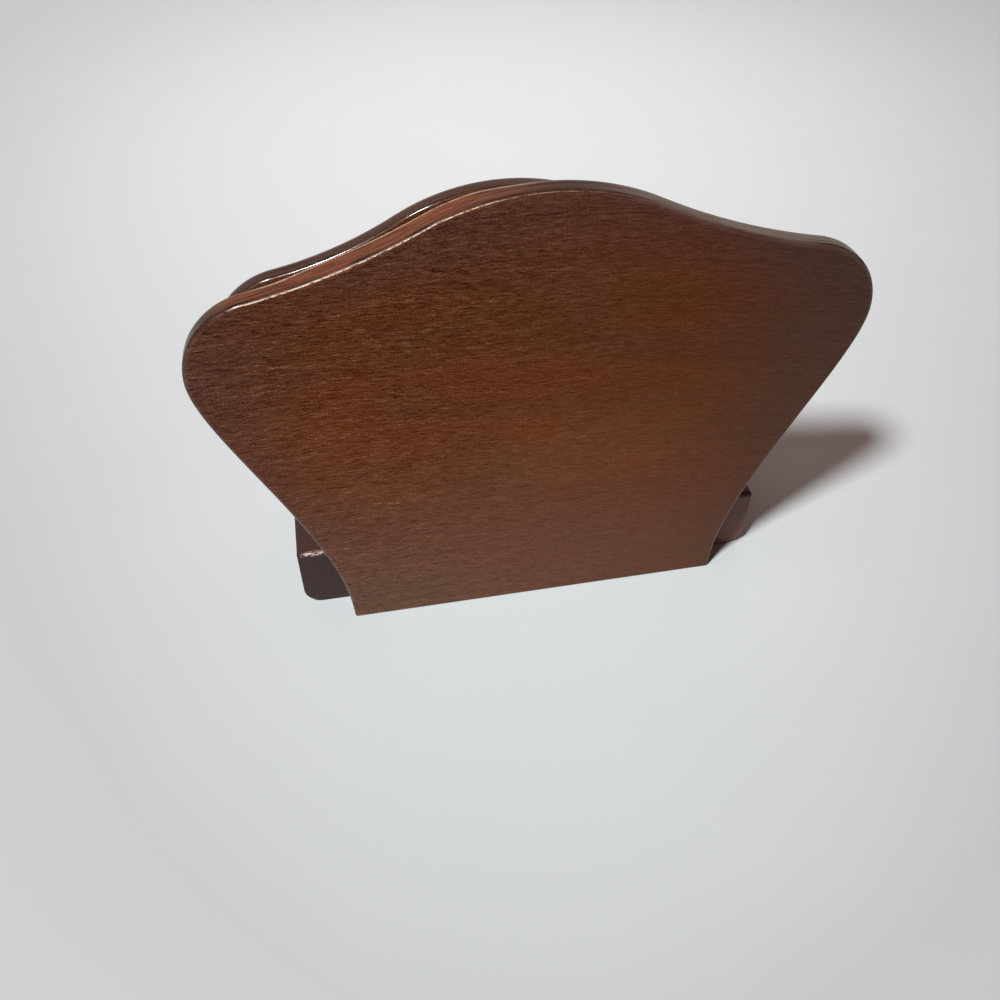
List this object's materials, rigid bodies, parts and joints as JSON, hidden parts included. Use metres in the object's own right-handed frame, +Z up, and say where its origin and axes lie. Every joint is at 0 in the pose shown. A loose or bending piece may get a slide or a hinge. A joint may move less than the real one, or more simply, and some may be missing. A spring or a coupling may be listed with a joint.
{
  "type": "napkin holder with drawer",
  "caption": "Wooden napkin holder: two fan-shaped plates on a low rectangular case with a shallow drawer and a turned knob.",
  "frame": {"origin": "centre of the rectangular footprint of rear plate and base, on the table", "axes": "+X along the plates, +Y from the rear plate to the drawer front, +Z up"},
  "size_m": [0.1706, 0.0725, 0.1299],
  "materials": {
    "stained_wood": "dark red-brown stain under satin lacquer, fine open grain",
    "plain_wood": "thinly stained inner drawer wood, matt",
    "dowel_wood": "bare hardwood",
    "fastener_steel": "zinc-plated steel"
  },
  "bodies": {
    "holder": {"rear_plate": "stained_wood", "front_plate": "stained_wood", "back_rail": "stained_wood", "left_end": "stained_wood", "right_end": "stained_wood", "top_board": "stained_wood", "bottom_board": "stained_wood", "plate_dowels": "dowel_wood", "plate_screws": "fastener_steel", "bottom_brads": "fastener_steel"},
    "drawer": {"drawer_front": "stained_wood", "drawer_left_side": "plain_wood", "drawer_right_side": "plain_wood", "drawer_back": "plain_wood", "drawer_bottom": "plain_wood", "drawer_brads": "fastener_steel", "drawer_knob": "stained_wood", "knob_screw": "fastener_steel"}
  },
  "joints": [
    {"name": "drawer_slide", "type": "slide", "parent": "holder", "child": "drawer", "axis": [0, 1, 0], "range_m": [0, 0.032]}
  ]
}
